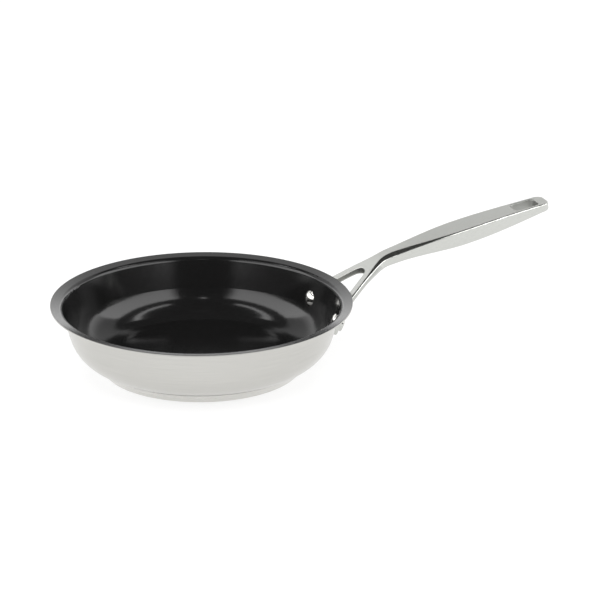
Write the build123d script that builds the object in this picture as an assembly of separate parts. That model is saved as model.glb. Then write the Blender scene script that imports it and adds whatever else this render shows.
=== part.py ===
from build123d import *
import os
from math import asin, atan2, ceil, cos, degrees, radians, sin, sqrt, tan

os.makedirs("parts", exist_ok=True)

# An omelette pan: a pressed steel bowl with a non-stick lining and a capped sandwich base,
# and one cast fork handle held by two solid rivets.
# Z is up, the origin is the centre of the base's underside, and the handle runs along +X.
# Lengths are in millimetres and angles in degrees.

# Bowl, spun round Z. Its profile is a flat floor, a wide corner, a leaning wall, a tight bend and
# a straight flared lip.
rim_diameter = 240.0
pan_height = 55.0
sheet_thickness = 0.9
lining_thickness = 0.3
corner_radius = 32.0
wall_angle = 74.0
lip_bend_radius = 4.0
lip_width = 9.4
lip_angle = 10.0

# Sandwich base. The cap's side climbs from its flat onto the bowl's corner and ends at the seam.
base_thickness = 6.0
cap_sheet = 0.8
cap_climb = 10.2
cap_flare = 6.9
cap_corner_radius = 2.7
seam_groove_radius = 0.35

# Rivets: a domed head inside the bowl, a shank, and a low formed tail outside. They sit this far
# round from the handle's axis and this far under the rim.
rivet_azimuth = 15.5
rivet_drop = 20.0
rivet_head_diameter = 12.6
rivet_head_height = 2.5
rivet_shank_diameter = 6.0
rivet_tail_diameter = 9.2
rivet_tail_height = 1.6
rivet_bore_clearance = 0.05

# Pads that seat on the wall, one at the end of each arm, each with a round boss for the rivet's tail.
pad_thickness = 3.4
pad_width = 18.6
pad_height = 19.4
pad_corner_radius = 6.2
pad_edge_radius = 1.0
boss_diameter = 13.6
boss_height = 2.8
boss_edge_radius = 0.8

# Fork arms, which rise from under the lip and draw together at the neck. Depths of the handle are
# measured square to its top.
arm_width = 7.2
arm_depth = 4.4
arm_heading = 29.5
arm_slope = 35.0
arm_lip_gap = 0.7
crotch_radius = 10.0
fork_edge_radius = 1.0

# Neck and grip. The last size is the spacing of the cross-sections that the bar is drawn through.
waist_width = 15.8
neck_corner_radius = 20.0
neck_bend_radius = 44.0
neck_depth = 10.2
grip_length = 142.8
belly_distance = 67.0
belly_width = 26.2
belly_depth = 13.5
tip_width = 21.8
tip_depth = 7.0
grip_slope = 14.5
tip_slope = 9.0
section_spacing = 6.0

# The top's long edges are broken by a bevel at 45 degrees, widest at the neck, with soft edges.
# The underside's edges are rounded by a share of the depth.
edge_bevel = 0.8
neck_bevel = 3.0
bevel_edge_radius = 0.9
under_round_share = 0.28

# Hanging slot, and the tip's corners as a share of the wall beyond the slot.
slot_length = 21.0
slot_width = 15.0
slot_corner_radius = 4.5
slot_end_wall = 8.3
slot_edge_radius = 0.8
tip_corner_share = 0.88

# Cuts run past the faces that they open by this much.
overrun = 4.0

# Values that follow from the dimensions above
rim_radius = rim_diameter / 2
skin_thickness = sheet_thickness + lining_thickness
lip_cos = cos(radians(lip_angle))
lip_sin = sin(radians(lip_angle))
lip_root_x = rim_radius - lip_width
lip_root_z = pan_height - lip_width * lip_sin / lip_cos
bend_reach = lip_bend_radius * tan(radians(wall_angle - lip_angle) / 2)
lip_bend_x = lip_root_x + bend_reach * lip_cos + lip_bend_radius * lip_sin
lip_bend_z = lip_root_z + bend_reach * lip_sin - lip_bend_radius * lip_cos
corner_level = base_thickness + corner_radius
wall_lean = 90 - wall_angle
lean_cos = cos(radians(wall_lean))
lean_sin = sin(radians(wall_lean))
wall_reach = lip_root_x * lean_cos - lip_root_z * lean_sin + skin_thickness
floor_radius = (wall_reach - corner_radius + corner_level * lean_sin) / lean_cos
rivet_height = pan_height - rivet_drop
rivet_radius = (wall_reach + rivet_height * lean_sin) / lean_cos
seat_level = pad_thickness + boss_height

seam_radius = floor_radius + cap_climb
seam_level = corner_level - sqrt(corner_radius**2 - cap_climb**2)
cap_flat_radius = seam_radius - cap_flare
cap_rise = seam_level - cap_corner_radius
cap_side = sqrt(cap_flare**2 + cap_rise**2)
cap_side_slope = degrees(atan2(cap_rise, cap_flare) + asin(cap_corner_radius / cap_side))

# Plan of the fork: each arm's centre line passes over its rivet's pad and heads in to the neck.
pad_radius = rivet_radius + pad_thickness / 2
arm_start_x = pad_radius * cos(radians(rivet_azimuth))
arm_start_y = pad_radius * sin(radians(rivet_azimuth))
arm_spread = tan(radians(arm_heading))
arm_half_across = arm_width / 2 / cos(radians(arm_heading))
neck_corner_y = waist_width / 2 + neck_corner_radius * (1 - cos(radians(arm_heading)))
neck_corner_x = arm_start_x + (arm_start_y + arm_half_across - neck_corner_y) / arm_spread
waist_x = neck_corner_x + neck_corner_radius * sin(radians(arm_heading))
belly_x = waist_x + belly_distance
tip_x = waist_x + grip_length
tip_corner_radius = tip_corner_share * slot_end_wall
tip_start_x = tip_x - tip_corner_radius * cos(radians(tip_slope))
crotch_half = crotch_radius / cos(radians(arm_heading))
crotch_x = arm_start_x + (arm_start_y - arm_half_across - crotch_half) / arm_spread
slot_x = tip_x - slot_end_wall - slot_length / 2
root_x = arm_start_x - pad_width
root_y = arm_start_y + arm_half_across + pad_width * arm_spread

# Top line of the handle: the arm's straight top passes just under the rim, then come the bend
# at the neck and the long arc of the grip.
inner_edge_y = arm_start_y - arm_half_across
inner_along = arm_start_x * cos(radians(arm_heading)) - inner_edge_y * sin(radians(arm_heading))
inner_short = rim_radius**2 - arm_start_x**2 - inner_edge_y**2
rim_cross_x = arm_start_x + (sqrt(inner_along**2 + inner_short) - inner_along) * cos(radians(arm_heading))
rim_cross_z = pan_height - skin_thickness * lip_cos - arm_lip_gap
bend_run = neck_bend_radius * (sin(radians(arm_slope)) - sin(radians(grip_slope)))
bend_start_x = waist_x - bend_run / 2
bend_end_x = waist_x + bend_run / 2
bend_start_z = rim_cross_z + (bend_start_x - rim_cross_x) * tan(radians(arm_slope))
bend_centre_x = bend_start_x + neck_bend_radius * sin(radians(arm_slope))
bend_centre_z = bend_start_z - neck_bend_radius * cos(radians(arm_slope))
bend_end_z = bend_centre_z + neck_bend_radius * cos(radians(grip_slope))
grip_radius = (tip_x - bend_end_x) / (sin(radians(grip_slope)) - sin(radians(tip_slope)))
grip_centre_x = bend_end_x + grip_radius * sin(radians(grip_slope))
grip_centre_z = bend_end_z - grip_radius * cos(radians(grip_slope))


def floor_and_corner(depth):
    """The bowl's floor and corner at a depth in from its outer face."""
    floor = Line((0, base_thickness + depth), (floor_radius, base_thickness + depth))
    corner = CenterArc((floor_radius, corner_level), corner_radius - depth, -90, wall_angle)
    return [floor, corner]


def skin(depth):
    """The bowl's profile at a depth in from its outer face: floor, corner, wall, bend and lip."""
    floor, corner = floor_and_corner(depth)
    bend_radius = lip_bend_radius - skin_thickness + depth
    bend = CenterArc((lip_bend_x, lip_bend_z), bend_radius, 90 + wall_angle, lip_angle - wall_angle)
    below = skin_thickness - depth
    lip = Line(bend @ 1, (rim_radius + below * lip_sin, pan_height - below * lip_cos))
    return [floor, corner, Line(corner @ 1, bend @ 0), bend, lip]


def straight_skin(depth):
    """The same, but with the wall going straight on up, past the rim."""
    floor, corner = floor_and_corner(depth)
    return [floor, corner, Line(corner @ 1, corner @ 1 + (corner % 1) * pan_height)]


def spun(*edges):
    """A closed outline in the XZ plane, spun round Z."""
    return revolve(Plane.XZ * make_face(edges), Axis.Z)


def layer(near, far, profile):
    """The layer between two depths of a profile."""
    outer = profile(near)
    inner = profile(far)
    axis = Line(outer[0] @ 0, inner[0] @ 0)
    rim = Line(outer[-1] @ 1, inner[-1] @ 1)
    return spun(*outer, rim, *inner, axis)


def bowl_space(depth):
    """Everything on the inner side of the bowl's skin at a depth, up to above the rim."""
    face = skin(depth)
    edge = face[-1] @ 1
    above = pan_height + overrun
    top = Line((edge.X, above), (0, above))
    return spun(*face, Line(edge, (edge.X, above)), top, Line(top @ 1, face[0] @ 0))


def foot(inset):
    """The base's outline at an inset from the cap's outer face, running on into the bowl's wall."""
    flat = Line((0, inset), (cap_flat_radius, inset))
    corner_centre = (cap_flat_radius, cap_corner_radius)
    corner = CenterArc(corner_centre, cap_corner_radius - inset, -90, cap_side_slope)
    side_end = corner @ 1 + (corner % 1) * (cap_side + overrun)
    side = Line(corner @ 1, side_end)
    top = Line(side_end, (0, side_end.Y))
    return spun(flat, corner, side, top, Line(top @ 1, (0, inset)))


def rivet_plane(side):
    """The plane where a rivet crosses the wall's outer face, with its Z along the rivet and outward."""
    azimuth = radians(side * rivet_azimuth)
    origin = (rivet_radius * cos(azimuth), rivet_radius * sin(azimuth), rivet_height)
    outward = (lean_cos * cos(azimuth), lean_cos * sin(azimuth), -lean_sin)
    return Plane(origin, x_dir=(-sin(azimuth), cos(azimuth), 0), z_dir=outward)


def rivet_bore(side):
    """The hole for a rivet's shank, through lining, wall, pad and boss."""
    bore_radius = rivet_shank_diameter / 2 + rivet_bore_clearance
    return rivet_plane(side) * Cylinder(bore_radius, 2 * (seat_level + overrun))


def bore_both(solid):
    """A solid with both rivet holes cut through it."""
    return solid - rivet_bore(1) - rivet_bore(-1)


def dome(radius, height, level):
    """A low dome on the plane's Z axis, with its flat side at a level."""
    ball_radius = (radius**2 + height**2) / (2 * height)
    ball = Pos(0, 0, level + height - ball_radius) * Sphere(ball_radius)
    return split(ball, Plane((0, 0, level)), keep=Keep.TOP)


def make_pan_body():
    return bore_both(layer(0, sheet_thickness, skin))


def make_nonstick_lining():
    return bore_both(layer(sheet_thickness, skin_thickness, skin))


def make_base_core():
    return foot(cap_sheet) - bowl_space(0)


def make_base_cap():
    seam = Plane.XZ * Pos(seam_radius, seam_level) * Circle(seam_groove_radius)
    return foot(0) - foot(cap_sheet) - bowl_space(0) - revolve(seam, Axis.Z)


def make_rivet(side):
    """One rivet, its head pressed against the lining and its tail against the boss."""
    shank_end = seat_level + rivet_tail_height / 2
    shank_start = skin_thickness + rivet_head_height / 2
    shank = Pos(0, 0, (shank_end - shank_start) / 2) * Cylinder(
        rivet_shank_diameter / 2, shank_end + shank_start
    )
    head_level = skin_thickness / 2
    head = Rot(180, 0, 0) * (
        dome(rivet_head_diameter / 2, rivet_head_height, skin_thickness)
        + Pos(0, 0, (head_level + skin_thickness) / 2)
        * Cylinder(rivet_head_diameter / 2, skin_thickness - head_level)
    )
    tail = dome(rivet_tail_diameter / 2, rivet_tail_height, seat_level)
    plane = rivet_plane(side)
    return plane * (shank + tail) + (plane * head & bowl_space(skin_thickness))


def slope_at(x):
    """Slope of the handle's top above a point of its centre line, in degrees."""
    if x <= bend_start_x:
        return arm_slope
    if x <= bend_end_x:
        return degrees(asin((bend_centre_x - x) / neck_bend_radius))
    return degrees(asin((grip_centre_x - x) / grip_radius))


def top_at(x):
    """Height of the handle's top above a point of its centre line."""
    slope = radians(slope_at(x))
    if x <= bend_start_x:
        return rim_cross_z + (x - rim_cross_x) * tan(slope)
    if x <= bend_end_x:
        return bend_centre_z + neck_bend_radius * cos(slope)
    return grip_centre_z + grip_radius * cos(slope)


def top_plane(x):
    """The plane square to the top line, with its origin on it and its Y pointing out of the top."""
    slope = radians(slope_at(x))
    return Plane((x, 0, top_at(x)), x_dir=(0, 1, 0), z_dir=(cos(slope), 0, sin(slope)))


def run(x, start_x, end_x):
    """How far a place is along a stretch, from 0 at its start and before to 1 at its end and after."""
    return min(max((x - start_x) / (end_x - start_x), 0), 1)


def level_run(x, start_x, end_x):
    """The same, but easing in and out, so that it's level at both ends."""
    share = run(x, start_x, end_x)
    return share**2 * (3 - 2 * share)


def half_width_at(x):
    """Half the bar's width: straight arms, an arc at the neck, then the swell of the belly."""
    if x <= neck_corner_x:
        return root_y - (x - root_x) * arm_spread
    if x <= waist_x:
        return waist_width / 2 + neck_corner_radius - sqrt(neck_corner_radius**2 - (waist_x - x) ** 2)
    swell = (belly_width - waist_width) / 2 * level_run(x, waist_x, belly_x)
    return waist_width / 2 + swell - (belly_width - tip_width) / 2 * level_run(x, belly_x, tip_start_x)


def depth_at(x):
    """The bar's depth: thin arms, a deeper neck, the deepest at the belly and thin again at the tip."""
    neck = (neck_depth - arm_depth) * level_run(x, crotch_x, bend_end_x)
    belly = (belly_depth - neck_depth) * level_run(x, bend_end_x, belly_x)
    return arm_depth + neck + belly - (belly_depth - tip_depth) * run(x, belly_x, tip_start_x) ** 2


def bevel_at(x):
    """The bevel's size: it grows along the neck and dwindles towards the belly."""
    growth = level_run(x, crotch_x, bend_end_x) * (1 - run(x, bend_end_x, belly_x)) ** 2
    return edge_bevel + (neck_bevel - edge_bevel) * growth


def section(x):
    """The bar's cross-section at a place: a flat top, two bevels, two sides and a rounded underside.

    Its X runs across the bar and its top is at zero.
    """
    half = half_width_at(x)
    right = [(half - bevel_at(x), 0), (half, -bevel_at(x)), (half, -depth_at(x))]
    left = [(-side, level) for side, level in reversed(right)]
    face = make_face(Polyline(*right, *left, close=True))
    face = fillet(face.vertices().sort_by(Axis.Y)[:2], under_round_share * depth_at(x))
    return fillet(face.vertices().sort_by(Axis.Y)[-4:], bevel_edge_radius)


def make_tip():
    """The bar's end: the last section's edge is turned round two corners and drawn across between them.

    It starts at zero and grows along Z.
    """
    centre = tip_width / 2 - tip_corner_radius
    strip = Pos(centre + tip_corner_radius / 2, 0) * Rectangle(tip_corner_radius, 2 * tip_depth)
    edge = section(tip_start_x) & strip
    turning_axis = Axis((centre, 0, 0), (0, -1, 0))
    corner = revolve(edge, turning_axis, 90)
    end = extrude(edge.rotate(turning_axis, 90), 2 * centre, dir=(-1, 0, 0))
    return end + corner + mirror(corner, about=Plane.YZ)


def make_bar():
    """The handle's bar, drawn through its cross-sections from the arms' root, with its end added."""
    count = ceil((tip_start_x - root_x) / section_spacing)
    places = [root_x + (tip_start_x - root_x) * step / count for step in range(count + 1)]
    bar = loft([top_plane(x) * section(x) for x in places])
    return bar + top_plane(tip_start_x) * make_tip()


def fork_opening():
    """The opening between the arms, as a prism through the whole handle."""
    crotch = CenterArc((crotch_x, 0), crotch_radius, arm_heading - 90, 2 * (90 - arm_heading))
    back_x = root_x - overrun
    near = crotch @ 0
    far = crotch @ 1
    near_back = (back_x, near.Y - (near.X - back_x) * arm_spread)
    far_back = (back_x, far.Y + (far.X - back_x) * arm_spread)
    outline = make_face([crotch, Line(far, far_back), Line(far_back, near_back), Line(near_back, near)])
    return extrude(outline, 2 * top_at(tip_x))


def hanging_slot():
    """The slot at the tip, as a prism through the whole handle."""
    outline = Pos(slot_x, 0) * RectangleRounded(slot_length, slot_width, slot_corner_radius)
    return extrude(outline, 2 * top_at(tip_x))


def facing(faces, direction):
    """The faces that look within about 60 degrees of a direction."""
    return faces.filter_by(lambda face: face.normal_at().dot(Vector(direction)) > 1 / 2)


def across(faces, direction):
    """The faces that stand within about 10 degrees of a direction."""
    return faces.filter_by(lambda face: abs(face.normal_at().dot(Vector(direction))) < 1 / 6)


def rounded_cut(solid, cutter, radius):
    """A solid with a prism cut through it, and the mouths of the cut rounded."""
    opened = solid - cutter
    mouths = new_edges(solid, cutter, combined=opened).filter_by(Axis.Z, reverse=True)
    return fillet(mouths, radius)


def make_blank():
    """The forked bar of the handle, with the fork and the slot cut through it."""
    bar = rounded_cut(make_bar(), fork_opening(), fork_edge_radius)
    return rounded_cut(bar, hanging_slot(), slot_edge_radius)


def make_pad(side):
    """The pad under one rivet: a layer of even thickness on the wall, with a round boss on it."""
    plane = rivet_plane(side)
    outline = plane * RectangleRounded(pad_width, pad_height, pad_corner_radius)
    pad = layer(-pad_thickness, 0, straight_skin) & extrude(outline, 2 * pad_thickness, both=True)
    sides = across(pad.faces(), plane.z_dir)
    pad = fillet(facing(pad.faces(), plane.z_dir).edges() & sides.edges(), pad_edge_radius)
    boss = Pos(0, 0, seat_level / 2) * Cylinder(boss_diameter / 2, seat_level)
    return pad + plane * fillet(boss.edges().sort_by(Axis.Z)[-1], boss_edge_radius)


def tail_space(side):
    """The space beyond a boss, which the arm leaves free for the rivet's tail."""
    seat = Pos(0, 0, seat_level + pad_height / 2) * Cylinder(boss_diameter / 2, pad_height)
    return rivet_plane(side) * seat


def make_handle():
    """The cast handle: forked bar and pads in one piece, fitted to the bowl's wall."""
    casting = make_blank() - bowl_space(0)
    for side in (1, -1):
        casting = casting + make_pad(side) - tail_space(side)
    return bore_both(casting)


pieces = {
    "pan_body": make_pan_body(),
    "nonstick_lining": make_nonstick_lining(),
    "base_core": make_base_core(),
    "base_cap": make_base_cap(),
    "handle": make_handle(),
    "rivet_left": make_rivet(1),
    "rivet_right": make_rivet(-1),
}

for name, piece in pieces.items():
    export_step(piece, f"parts/{name}.step")
    print(name, "solids", len(piece.solids()), "volume", round(piece.volume))
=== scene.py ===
# %% [markdown]
# # An omelette pan: steel, a black lining and the light that shows them
# A pan like this has almost no colour of its own. The wall, the handle and the rivets are stainless
# steel, and the inside is a glossy black non-stick lining, so what the eye sees is mostly the
# studio, bent by each surface. The shapes come ready from the CAD model, seven solids in one frame,
# and stay as they are. This lesson first sets up the model and a camera, then builds a studio worth
# reflecting, then gives each piece the finish that its maker gave it.

# %% Load the model as a fixed frame
from math import cos, radians, sin

import bmesh
import bpy
from mathutils import Matrix, Vector


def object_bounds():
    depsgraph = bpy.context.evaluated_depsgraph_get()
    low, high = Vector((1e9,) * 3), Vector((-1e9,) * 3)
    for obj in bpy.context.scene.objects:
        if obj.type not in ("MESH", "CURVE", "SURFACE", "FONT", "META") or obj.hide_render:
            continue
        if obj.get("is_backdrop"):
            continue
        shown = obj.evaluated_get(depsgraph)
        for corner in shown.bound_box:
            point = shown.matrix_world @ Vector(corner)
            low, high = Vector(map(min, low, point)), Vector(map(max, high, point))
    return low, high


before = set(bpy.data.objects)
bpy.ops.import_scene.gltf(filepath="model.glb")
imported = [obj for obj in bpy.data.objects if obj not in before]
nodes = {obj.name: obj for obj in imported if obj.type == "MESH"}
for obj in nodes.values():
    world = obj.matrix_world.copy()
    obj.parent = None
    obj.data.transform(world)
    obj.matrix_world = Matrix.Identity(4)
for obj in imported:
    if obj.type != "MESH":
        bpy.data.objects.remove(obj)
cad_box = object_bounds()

scene = bpy.context.scene
mm = 0.001
print("nodes:", ", ".join(sorted(nodes)))
print("model box, mm:", [round((high - low) / mm, 1) for low, high in zip(*cad_box)])

# %% [markdown]
# ## The camera
# The photograph was taken with a long lens from a little above, so the rim shows as a flat ellipse
# and straight edges hardly converge. The pan's own frame has the handle along +X, and in the
# photograph the handle points right and away from the viewer. Turning the pan would move the frame,
# so the camera and the whole studio are turned round it instead, by one matrix. The lens, the pitch
# and the point aimed at come from fitting the rim's ellipse in a picture 600 pixels wide.

# %% Camera at the photograph's viewing angle
image_size = 600
focal_pixels = 3148.1
sensor_width = 36.0
camera_distance = 2.5
camera_pitch = radians(19.98)
handle_turn = radians(20)
aim = Vector((78.15 * mm, 0, 56.23 * mm))

studio = Matrix.Rotation(-handle_turn, 4, "Z")
backwards = Vector((0, -cos(camera_pitch), sin(camera_pitch)))
camera = bpy.data.objects.new("camera", bpy.data.cameras.new("camera"))
camera.data.sensor_width = sensor_width
camera.data.lens = focal_pixels / image_size * sensor_width
camera.location = studio @ (aim + camera_distance * backwards)
camera.rotation_mode = "QUATERNION"
camera.rotation_quaternion = (studio.to_3x3() @ -backwards).to_track_quat("-Z", "Y")
scene.collection.objects.link(camera)
scene.camera = camera
scene.view_settings.view_transform = "Standard"
print("lens, mm:", round(camera.data.lens, 1), "at", camera_distance, "m")

# %% [markdown]
# ## A studio made for metal
# Polished metal has no shading: it shows the room. Photographers therefore build a room of large
# soft lights, and put black cards, called flags, where they want a dark line that draws an edge.
# The black lining of this pan is a good map of such a room. It shows a light wall on either side
# of the camera, with a dark gap between them, a narrow strip light above each wall, a small lamp
# over the camera and a dark ceiling. Each of these is a patch of a sphere round the pan, given by
# its directions as seen from the pan: azimuth 0 is towards the camera, and elevation is above the
# horizon. No patch is seen by the camera itself, only in what reflects it.

# %% Patches of the studio's sphere
patch_step = 4


def sphere_patch(name, radius, azimuths, elevations, surface):
    """A patch of a sphere round the pan, between two azimuths and two elevations in degrees."""
    start, end = sorted(azimuths)
    low, high = elevations
    columns = max(1, round((end - start) / patch_step))
    rows = max(1, round((high - low) / patch_step))
    points = []
    for row in range(rows + 1):
        elevation = radians(low + (high - low) * row / rows)
        for column in range(columns + 1):
            azimuth = radians(start + (end - start) * column / columns)
            level = radius * cos(elevation)
            points.append((level * sin(azimuth), -level * cos(azimuth), radius * sin(elevation)))
    faces = []
    for row in range(rows):
        for column in range(columns):
            corner = row * (columns + 1) + column
            faces.append((corner, corner + 1, corner + columns + 2, corner + columns + 1))
    mesh = bpy.data.meshes.new(name)
    mesh.from_pydata(points, [], faces)
    mesh.materials.append(surface)
    patch = bpy.data.objects.new(name, mesh)
    patch.matrix_world = studio
    scene.collection.objects.link(patch)
    patch.visible_camera = False
    patch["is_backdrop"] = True
    print(name, "has", len(faces), "faces of", surface.name)
    return patch


print("a ring all round the pan takes", round(360 / patch_step), "faces")

# %% [markdown]
# ## Colours and nodes
# Colours are picked on a screen as sRGB hex values, but a renderer adds and multiplies light, which
# only works on linear values: one function turns a hex colour to linear. A material could be joined
# up by hand in the node editor, where it is quick to try things, but code makes it again exactly.
# One more function adds a node with its settings and its links, so that each material below reads
# as a list of what it is.

# %% Helpers for colours and nodes
def linear(hex_colour):
    """An sRGB hex colour such as #cfccc8 as linear red, green, blue and alpha."""
    shares = [int(hex_colour[start : start + 2], 16) / 255 for start in (1, 3, 5)]
    lit = [share / 12.92 if share <= 0.04045 else ((share + 0.055) / 1.055) ** 2.4 for share in shares]
    return lit + [1]


def add(tree, kind, settings=None, links=None, **properties):
    """Adds a node: properties are its own, settings fill its sockets and links join them to others."""
    node = tree.nodes.new(kind)
    for name, value in properties.items():
        setattr(node, name, value)
    for name, value in (settings or {}).items():
        node.inputs[name].default_value = value
    for name, socket in (links or {}).items():
        tree.links.new(socket, node.inputs[name])
    return node


def empty_tree(owner):
    """The node tree of a material or world, emptied."""
    owner.use_nodes = True
    owner.node_tree.nodes.clear()
    return owner.node_tree


print("mid grey #808080 is", round(linear("#808080")[0], 3), "in linear light")

# %% [markdown]
# ## White cloth
# A studio lamp shines through white cloth, which is never evenly bright: it fades towards its
# edges. An area lamp would be simpler, but its light is the same all over, and its hard edge would
# show in the lining. Here each cloth is a glowing patch whose strength changes with height. On the
# side walls it also rises softly from the edge beside the camera, and that fade is what makes the
# bright patches in the lining start without a line.

# %% Cloth that glows by its height
wall_radius = 1.8


def cloth(name, elevations, strengths, fade=None):
    """A lit white cloth: its strength at each of two elevations, times what a fade gives."""
    made = bpy.data.materials.new(name)
    tree = empty_tree(made)
    place = add(tree, "ShaderNodeTexCoord")
    place = add(tree, "ShaderNodeSeparateXYZ", links={"Vector": place.outputs["Object"]})
    low, high = (wall_radius * sin(radians(elevation)) for elevation in elevations)
    strength = add(
        tree,
        "ShaderNodeMapRange",
        {"From Min": low, "From Max": high, "To Min": strengths[0], "To Max": strengths[1]},
        {"Value": place.outputs["Z"]},
    ).outputs["Result"]
    if fade:
        links = {0: strength, 1: fade(tree, place)}
        strength = add(tree, "ShaderNodeMath", links=links, operation="MULTIPLY").outputs[0]
    light = add(tree, "ShaderNodeEmission", links={"Strength": strength})
    add(tree, "ShaderNodeOutputMaterial", links={"Surface": light.outputs["Emission"]})
    return made


print("the walls stand", wall_radius, "m from the pan")

# %% A fade beside the camera
side_start = 22
side_full = 34


def beside_camera(tree, place):
    """0 at the side walls' edge beside the camera, and 1 a little further round."""
    sideways = add(tree, "ShaderNodeMath", links={0: place.outputs["X"]}, operation="ABSOLUTE")
    forwards = add(tree, "ShaderNodeMath", {1: -1}, {0: place.outputs["Y"]}, operation="MULTIPLY")
    links = {0: sideways.outputs[0], 1: forwards.outputs[0]}
    azimuth = add(tree, "ShaderNodeMath", links=links, operation="ARCTAN2")
    return add(
        tree,
        "ShaderNodeMapRange",
        {"From Min": radians(side_start), "From Max": radians(side_full)},
        {"Value": azimuth.outputs[0]},
        interpolation_type="SMOOTHSTEP",
    ).outputs["Result"]


fade_width = wall_radius * radians(side_full - side_start)
print("the side walls' cloth fades in over", round(fade_width, 2), "m")

# %% [markdown]
# ## Light walls, strips and a lamp
# The side walls light the steel and make the two wide patches in the lining. The back walls go on
# round behind the pan. They are bright low down and dim higher up, which keeps the rim's lip a
# middle grey. Each strip draws a short bright streak below a patch, and the small lamp makes the
# spot between the patches. One dome of light would be less work, but it would give none of these.

# %% Light walls beside and behind the pan
side_end = 112
side_elevations = (15.5, 45)
side_strengths = (2.9, 3.3)
side_cloth = cloth("side_cloth", side_elevations, side_strengths, beside_camera)
back_middle = 180
back_elevations = (13, 45)
back_fade = (13, 31)
back_strengths = (2.4, 0.75)
back_cloth = cloth("back_cloth", back_fade, back_strengths)
for side, word in ((1, "right"), (-1, "left")):
    beside = (side * side_start, side * side_end)
    behind = (side * side_end, side * back_middle)
    sphere_patch("side_" + word, wall_radius, beside, side_elevations, side_cloth)
    sphere_patch("back_" + word, wall_radius, behind, back_elevations, back_cloth)

# %% Strip lights and a lamp over the camera
strip_start = 46
strip_end = 132
strip_elevations = (56.5, 60.5)
strip_strength = 4.0
lamp_azimuths = (-3.5, 3.5)
lamp_elevations = (45, 48.5)
strip_cloth = cloth("strip_cloth", strip_elevations, (strip_strength, strip_strength))
for side, word in ((1, "right"), (-1, "left")):
    beside = (side * strip_start, side * strip_end)
    sphere_patch("strip_" + word, wall_radius, beside, strip_elevations, strip_cloth)
sphere_patch("lamp_over_camera", wall_radius, lamp_azimuths, lamp_elevations, strip_cloth)

# %% [markdown]
# ## Black felt
# Felt hung behind the walls fills what they leave open: the ceiling, the gap round the camera and a
# low band at the horizon. It gives back little light, so the steel gets dark lines beside its
# bright ones, and its edges can be read. A flag is there for reflections alone, so it takes no
# light from matt surfaces and throws no shadow.

# %% Black flags
felt_grey = "#4c4c4c"
felt = bpy.data.materials.new("black_felt")
tree = empty_tree(felt)
matt = add(tree, "ShaderNodeBsdfDiffuse", {"Color": linear(felt_grey)})
add(tree, "ShaderNodeOutputMaterial", links={"Surface": matt.outputs[0]})

flag_radius = 2.2
for name, azimuths, elevations in (
    ("flag_ceiling", (0, 360), (45, 89)),
    ("flag_front", (-40, 40), (5, 50)),
    ("flag_horizon", (0, 360), (5, 15)),
):
    flag = sphere_patch(name, flag_radius, azimuths, elevations, felt)
    flag.visible_diffuse = False
    flag.visible_shadow = False

# %% [markdown]
# ## Floor and background
# The pan stands on a plain white surface that runs out of the frame. Lighting a floor until it
# clips would also overexpose the steel, so the white is given to the floor itself: rays from the
# camera, and rays that the metal sends back, see it glow by itself, and a share of real diffuse
# reflection keeps the pan's soft shadow. Light Path tells such rays from the rest. The world does
# the same beyond the floor's edge.

# %% White floor
def looking_rays(tree):
    """1 for rays from the camera or sent on by metal or glass, 0 for the rest."""
    path = add(tree, "ShaderNodeLightPath")
    seen = path.outputs["Is Camera Ray"]
    for name in ("Is Glossy Ray", "Is Transmission Ray"):
        more = add(tree, "ShaderNodeMath", links={0: seen, 1: path.outputs[name]}, operation="MAXIMUM")
        seen = more.outputs[0]
    return seen


floor_radius = 1.6
floor_sides = 96
paper_white = "#f4f4f2"
shadow_grey = "#a0a0a0"
own_share = 0.70
white_paper = bpy.data.materials.new("white_paper")
tree = empty_tree(white_paper)
paper = add(tree, "ShaderNodeBsdfDiffuse", {"Color": linear(paper_white)})
shaded = add(tree, "ShaderNodeBsdfDiffuse", {"Color": linear(shadow_grey)})
own_light = add(tree, "ShaderNodeEmission", {"Strength": own_share})
white = add(tree, "ShaderNodeAddShader", links={0: shaded.outputs[0], 1: own_light.outputs[0]})
links = {0: looking_rays(tree), 1: paper.outputs[0], 2: white.outputs[0]}
seen = add(tree, "ShaderNodeMixShader", links=links)
add(tree, "ShaderNodeOutputMaterial", links={"Surface": seen.outputs[0]})

floor_mesh = bpy.data.meshes.new("floor")
outline = bmesh.new()
bmesh.ops.create_circle(outline, cap_ends=True, radius=floor_radius, segments=floor_sides)
outline.to_mesh(floor_mesh)
outline.free()
floor_mesh.materials.append(white_paper)
floor = bpy.data.objects.new("floor", floor_mesh)
scene.collection.objects.link(floor)
floor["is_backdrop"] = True
print("floor radius, m:", floor_radius)

# %% White world
pure_white = "#ffffff"
room_strength = 0.55
backdrop_strength = 1.0
world = bpy.data.worlds.new("studio_world")
scene.world = world
tree = empty_tree(world)
colour = linear(pure_white)
room = add(tree, "ShaderNodeBackground", {"Color": colour, "Strength": room_strength})
backdrop = add(tree, "ShaderNodeBackground", {"Color": colour, "Strength": backdrop_strength})
links = {0: looking_rays(tree), 1: room.outputs[0], 2: backdrop.outputs[0]}
seen = add(tree, "ShaderNodeMixShader", links=links)
add(tree, "ShaderNodeOutputWorld", links={"Surface": seen.outputs[0]})
print("the room lights the pan at", room_strength, "and shows at", backdrop_strength)

# %% [markdown]
# ## What a tool leaves behind
# Every steel surface here was finished by a tool that moved one way: the bowl and its base turned
# on a lathe against an abrasive belt, and the handle was drawn along a polishing wheel. Both leave
# fine lines along the motion. They could come from a Wave texture, but its lines are too even, and
# an anisotropic shader shows their sheen without the lines. A noise texture makes uneven lines when
# its coordinates are squeezed across the motion and drawn out along it. Round the bowl, the
# coordinate across is the distance along the profile, and the one along is the direction from the
# axis, which has no seam.

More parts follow.
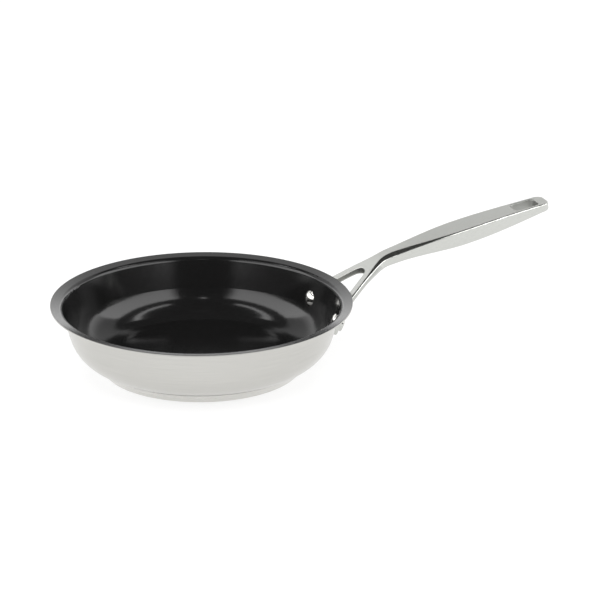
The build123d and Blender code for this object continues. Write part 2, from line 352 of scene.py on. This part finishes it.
# %% Coordinates for a turned finish
def turned_lines(tree, spacing, changes):
    """Coordinates for lines round Z: their spacing, and how often they change in each radian."""
    place = add(tree, "ShaderNodeTexCoord").outputs["Object"]
    flat = add(tree, "ShaderNodeVectorMath", {1: (1, 1, 0)}, {0: place}, operation="MULTIPLY")
    radius = add(tree, "ShaderNodeVectorMath", links={0: flat.outputs[0]}, operation="LENGTH")
    height = add(tree, "ShaderNodeSeparateXYZ", links={"Vector": place})
    links = {0: radius.outputs["Value"], 1: height.outputs["Z"]}
    across = add(tree, "ShaderNodeMath", links=links, operation="ADD")
    across = add(tree, "ShaderNodeMath", {1: 1 / spacing}, {0: across.outputs[0]}, operation="MULTIPLY")
    across = add(tree, "ShaderNodeCombineXYZ", links={"Z": across.outputs[0]})
    around = add(tree, "ShaderNodeVectorMath", links={0: flat.outputs[0]}, operation="NORMALIZE")
    links = {0: around.outputs[0]}
    around = add(tree, "ShaderNodeVectorMath", {"Scale": changes}, links, operation="SCALE")
    links = {0: across.outputs[0], 1: around.outputs[0]}
    return add(tree, "ShaderNodeVectorMath", links=links, operation="ADD").outputs[0]


rim_radius = cad_box[1][1]
print("the lines go round a rim of radius, mm:", round(rim_radius / mm, 1))

# %% Coordinates for a drawn finish
def drawn_lines(tree, length, spacing):
    """Coordinates for lines along X, of a length and at a spacing."""
    place = add(tree, "ShaderNodeTexCoord").outputs["Object"]
    cells = {1: (1 / length, 1 / spacing, 1 / spacing)}
    return add(tree, "ShaderNodeVectorMath", cells, {0: place}, operation="MULTIPLY").outputs[0]


print("the lines run along a handle of length, mm:", round(nodes["handle"].dimensions.x / mm, 1))

# %% [markdown]
# ## One grain in three places
# A scratch is rougher, a little darker and a little lower than the metal beside it, all in the same
# place. Separate textures for the three would never line up, so one noise drives the roughness, the
# colour and the relief. A noise mostly stays between 0.3 and 0.7, and those two values are what the
# roughness is spread over. Unpolished places and painted shade come on top, through masks: one mask adds
# to the roughness where the steel is unpolished, and one darkens the colour where shade is painted into
# a seam or a recess.

# %% A finish with a grain
grain_low = 0.3
grain_high = 0.7
# The Mix node repeats its sockets' names, so its colour sockets go by their numbers.
mix_first = 6
mix_second = 7
mix_result = 2


def grained(name, places, detail, roughness, colours, relief, dull_and_shade=None, **shader_settings):
    """Steel or coating with one grain, laid out by places, in its roughness, colour and relief.

    An optional tuple holds a function for two masks, what the first adds to the roughness, and the share
    of the colour that the second leaves, which is painted shade.
    """
    made = bpy.data.materials.new(name)
    tree = empty_tree(made)
    grain = add(tree, "ShaderNodeTexNoise", {"Scale": 1.0, "Detail": detail}, {"Vector": places(tree)})
    grain = grain.outputs["Fac"]
    rough = add(
        tree,
        "ShaderNodeMapRange",
        {"From Min": grain_low, "From Max": grain_high, "To Min": roughness[0], "To Max": roughness[1]},
        {"Value": grain},
    ).outputs["Result"]
    tint = add(
        tree,
        "ShaderNodeMix",
        {mix_first: linear(colours[0]), mix_second: linear(colours[1])},
        {"Factor": grain},
        data_type="RGBA",
    ).outputs[mix_result]
    if dull_and_shade:
        masks, extra, left = dull_and_shade
        coarse, painted_shade = masks(tree)
        links = {0: coarse, 2: rough}
        rough = add(tree, "ShaderNodeMath", {1: extra}, links, operation="MULTIPLY_ADD").outputs[0]
        share = add(tree, "ShaderNodeMapRange", {"To Min": 1, "To Max": left}, {"Value": painted_shade})
        links = {0: tint, "Scale": share.outputs["Result"]}
        tint = add(tree, "ShaderNodeVectorMath", links=links, operation="SCALE").outputs[0]
    bump = add(tree, "ShaderNodeBump", {"Distance": relief}, {"Height": grain})
    shader = add(
        tree,
        "ShaderNodeBsdfPrincipled",
        shader_settings,
        {"Roughness": rough, "Base Color": tint, "Normal": bump.outputs["Normal"]},
    )
    add(tree, "ShaderNodeOutputMaterial", links={"Surface": shader.outputs["BSDF"]})
    return made


def wear(*names, finish):
    """Gives one finish to CAD nodes."""
    for name in names:
        nodes[name].material_slots[0].material = finish
        print(name, "is", finish.name, "made of", len(finish.node_tree.nodes), "nodes")


print("the grain runs from", grain_low, "to", grain_high)

# %% [markdown]
# ## The bowl and its base: stainless steel, turned to a satin
# The bowl is spun from a sheet of 18/10 stainless steel, and the cap under it is pressed from the same
# sheet. Both then turn against a fine abrasive belt, which leaves lines round the axis some 0.1 mm
# apart. The eye sees them as a soft, even sheen, with highlights pulled out along the lines' own
# direction. Lines that fine fall between the pixels, so they are drawn 0.8 mm apart, and so faint that
# they only break the sheen. The cap was faced last, with a coarser feed of some 0.3 mm a turn, which is
# drawn at 1.4 mm for the same reason. The belt can't get into the groove where the cap meets the bowl,
# so the seam stays rough. The groove also lies in shade. That shade could come from a groove in the
# mesh, but the groove is finer than a pixel, so the shade is painted: a mask by height darkens the
# colour into a thin dark line round the base.

# %% Painted shade and dullness in the seam
seam_height = 10.2 * mm
seam_reach = 0.8 * mm
seam_roughness = 0.2
# The share of the colour left in the seam: painted shade of the groove between the cap and the bowl.
seam_shade_left = 0.06


def seam(tree):
    """Both masks, for the seam's roughness and its painted shade: 1 in the seam round the base, and 0
    away from it.
    """
    place = add(tree, "ShaderNodeTexCoord")
    height = add(tree, "ShaderNodeSeparateXYZ", links={"Vector": place.outputs["Object"]})
    above = add(tree, "ShaderNodeMath", {1: seam_height}, {0: height.outputs["Z"]}, operation="SUBTRACT")
    away = add(tree, "ShaderNodeMath", links={0: above.outputs[0]}, operation="ABSOLUTE")
    dullness_and_shade = add(
        tree,
        "ShaderNodeMapRange",
        {"From Min": seam_reach, "From Max": 0},
        {"Value": away.outputs[0]},
        interpolation_type="SMOOTHSTEP",
    ).outputs["Result"]
    return dullness_and_shade, dullness_and_shade


seam_dullness_and_shade = (seam, seam_roughness, seam_shade_left)
print("the seam is at, mm:", round(seam_height / mm, 1))

# %% Turned satin on the bowl
line_spacing = 0.8 * mm
turned_steel = grained(
    "turned_stainless_steel",
    places=lambda tree: turned_lines(tree, spacing=line_spacing, changes=3),
    detail=2.0,
    roughness=(0.20, 0.27),
    colours=("#c0bfbb", "#cecdc9"),
    relief=0.004 * mm,
    dull_and_shade=seam_dullness_and_shade,
    Metallic=1.0,
)
wear("pan_body", finish=turned_steel)

# %% Faced satin on the cap
facing_feed = 1.4 * mm
faced_steel = grained(
    "pressed_stainless_steel",
    places=lambda tree: turned_lines(tree, spacing=facing_feed, changes=2),
    detail=2.0,
    roughness=(0.22, 0.30),
    # The cap's colours are a step lighter than the bowl's: painted light, to make up for the darker
    # floor near the base that the cap reflects.
    colours=("#cecdc9", "#dcdbd7"),
    relief=0.006 * mm,
    dull_and_shade=seam_dullness_and_shade,
    Metallic=1.0,
)
wear("base_cap", finish=faced_steel)

# %% [markdown]
# ## The core: rolled aluminium
# Inside the base lies a disc of aluminium that spreads the heat. It is cut from rolled plate, whose
# rolls leave straight faint lines, long and some 0.1 mm apart, that give the eye a soft sheen across
# them. They are drawn 0.7 mm apart so that they show. Nobody sees the core in a whole pan, and it
# could stay plain, but the part can be taken apart, so it gets its own finish.

# %% Rolled plate
roll_length = 40 * mm
roll_spacing = 0.7 * mm
rolled_aluminium = grained(
    "rolled_aluminium",
    places=lambda tree: drawn_lines(tree, roll_length, roll_spacing),
    detail=3.0,
    roughness=(0.30, 0.42),
    colours=("#c4c6c9", "#d8dadc"),
    relief=0.006 * mm,
    Metallic=1.0,
)
wear("base_core", finish=rolled_aluminium)

# %% [markdown]
# ## The lining: a sprayed and baked non-stick coating
# The black inside is a fluoropolymer coating, sprayed on and baked. It flows almost flat, but keeps
# a very shallow waviness some 1.5 mm across, which coating makers call orange peel, and a fine
# grain. It is a plastic, so it reflects weakly when looked at straight and strongly at a glancing
# angle, which is why its far wall shows the studio more clearly than its floor does. A black paint
# with a clear coat would need two layers for that. One layer with a low roughness is enough.

# %% Baked coating
orange_peel = 1.5 * mm
coating = grained(
    "baked_nonstick_coating",
    places=lambda tree: drawn_lines(tree, orange_peel, orange_peel),
    detail=3.0,
    roughness=(0.12, 0.16),
    colours=("#141414", "#1a1a1a"),
    relief=0.008 * mm,
    IOR=1.48,
)
wear("nonstick_lining", finish=coating)

# %% [markdown]
# ## The handle: cast steel, polished at its edges
# The handle is cast, and the whole casting is blasted to a fine satin. The bevels and flanks are then
# polished on a wheel, which can't reach into the fork or the slot. That is what draws the handle: a grey
# satin top, and a mirror-like bevel beside it that goes from black to white. Faces could be picked by
# hand for two materials, but the border would be as hard as the mesh's edges, so masks tell what was
# polished, by where the surface faces. The top faces neither side, and the walls inside the fork and the
# slot face the middle line or lie within the slot's own box. The grip was blasted most and the fork
# least. The inner walls are also painted darker, as painted shade in the recesses of the fork and the
# slot.

# %% The blasted top
# The top ends where the surface turns this far to the side, between the first value and the second.
top_edge = (0.30, 0.46)
# A surface that faces up by more than this is the handle's top, and one by less is a wall.
upward_least = 0.4


def blasted_top(tree, facing):
    """1 on the handle's top, and 0 on its bevels, flanks and underside."""
    sideways = add(tree, "ShaderNodeMath", links={0: facing.outputs["Y"]}, operation="ABSOLUTE")
    level = add(
        tree,
        "ShaderNodeMapRange",
        {"From Min": top_edge[1], "From Max": top_edge[0]},
        {"Value": sideways.outputs[0]},
        interpolation_type="SMOOTHSTEP",
    )
    settings = {1: upward_least}
    upward = add(tree, "ShaderNodeMath", settings, {0: facing.outputs["Z"]}, operation="GREATER_THAN")
    links = {0: level.outputs["Result"], 1: upward.outputs[0]}
    return add(tree, "ShaderNodeMath", links=links, operation="MULTIPLY")


print("the handle's fork is this wide, mm:", round(nodes["handle"].dimensions.y / mm, 1))

# %% The walls inside the fork and the slot
slot_middle = 278.2 * mm
slot_reach = 10.9 * mm
slot_half_width = 7.9 * mm
# A wall faces the middle line when its place times its facing, both along Y, is below this.
inward_most = -1 * mm


def inner_walls(tree, facing, place):
    """1 on the walls inside the fork and the slot, and 0 elsewhere."""
    links = {0: facing.outputs["Y"], 1: place.outputs["Y"]}
    outward = add(tree, "ShaderNodeMath", links=links, operation="MULTIPLY")
    links = {0: outward.outputs[0]}
    inward = add(tree, "ShaderNodeMath", {1: inward_most}, links, operation="LESS_THAN")
    settings = {1: slot_middle, 2: slot_reach}
    along = add(tree, "ShaderNodeMath", settings, {0: place.outputs["X"]}, operation="COMPARE")
    settings = {1: 0, 2: slot_half_width}
    beside = add(tree, "ShaderNodeMath", settings, {0: place.outputs["Y"]}, operation="COMPARE")
    settings = {1: upward_least}
    wall = add(tree, "ShaderNodeMath", settings, {0: facing.outputs["Z"]}, operation="LESS_THAN")
    inside = along
    for operation, other in (("MULTIPLY", beside), ("MULTIPLY", wall), ("MAXIMUM", inward)):
        links = {0: inside.outputs[0], 1: other.outputs[0]}
        inside = add(tree, "ShaderNodeMath", links=links, operation=operation)
    return inside


print("the slot's box, mm:", round(2 * slot_reach / mm, 1), "by", round(2 * slot_half_width / mm, 1))

# %% Where the wheel didn't reach, and painted shade
fork_end = 140 * mm
grip_start = 190 * mm
fork_share = 0.6
blasted_roughness = 0.36
# The share of the colour left on the inner walls of the fork and the slot: painted shade in those
# recesses.
inner_wall_shade_left = 0.68


def unpolished_and_shaded(tree):
    """Where the handle is coarse, its top and inner walls, and where shade is painted, on its inner
    walls.
    """
    place = add(tree, "ShaderNodeTexCoord")
    facing = add(tree, "ShaderNodeSeparateXYZ", links={"Vector": place.outputs["Normal"]})
    place = add(tree, "ShaderNodeSeparateXYZ", links={"Vector": place.outputs["Object"]})
    inside = inner_walls(tree, facing, place)
    blasting = add(
        tree,
        "ShaderNodeMapRange",
        {"From Min": fork_end, "From Max": grip_start, "To Min": fork_share, "To Max": 1},
        {"Value": place.outputs["X"]},
        interpolation_type="SMOOTHSTEP",
    )
    coarse = inside
    for operation, other in (("MAXIMUM", blasted_top(tree, facing)), ("MULTIPLY", blasting)):
        links = {0: coarse.outputs[0], 1: other.outputs[0]}
        coarse = add(tree, "ShaderNodeMath", links=links, operation=operation)
    return coarse.outputs[0], inside.outputs[0]


print("the blasting grows over, mm:", round((grip_start - fork_end) / mm))

# %% [markdown]
# ## Cast steel
# Blasting leaves pits some 0.1 mm across, a little longer along the handle where the wheel or a
# brush went over them. The eye sees no pits, only a soft grey that takes on the room's brightness.
# They are drawn 0.9 mm across, so faint that they only liven that grey.

# %% Cast steel on the handle
grit = 0.9 * mm
cast_steel = grained(
    "cast_stainless_steel",
    places=lambda tree: drawn_lines(tree, 3 * grit, grit),
    detail=2.0,
    roughness=(0.09, 0.13),
    colours=("#c1c2be", "#cccdc9"),
    relief=0.005 * mm,
    dull_and_shade=(unpolished_and_shaded, blasted_roughness, inner_wall_shade_left),
    Metallic=1.0,
)
wear("handle", finish=cast_steel)

# %% [markdown]
# ## The rivets: polished steel
# The rivet heads inside the bowl are turned domes, polished to a mirror: the eye finds one small
# bright spot on each and a black room round it. Years of spatulas and sponges leave hairlines on
# them, so the mirror isn't quite perfect, and the roughness wanders a little. Real hairlines are far
# finer than a pixel. They are drawn 0.6 mm apart and 4 mm long.

# %% Polished heads
hairline_length = 4 * mm
hairline_spacing = 0.6 * mm
polished_steel = grained(
    "polished_stainless_steel",
    places=lambda tree: drawn_lines(tree, hairline_length, hairline_spacing),
    detail=3.0,
    roughness=(0.06, 0.09),
    colours=("#d2d1cd", "#dddcd8"),
    relief=0.0003 * mm,
    Metallic=1.0,
)
wear("rivet_left", "rivet_right", finish=polished_steel)

# %% [markdown]
# ## The size, once more
# A finish must not change a pan's size. The box round all its pieces is measured again, and the largest
# change from the first box is printed.

# %% Measure the box again
visual_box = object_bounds()
shifts = [abs(new - old) for corners in zip(cad_box, visual_box) for old, new in zip(*corners)]
print("the box changed by at most, mm:", round(max(shifts) / mm, 3))
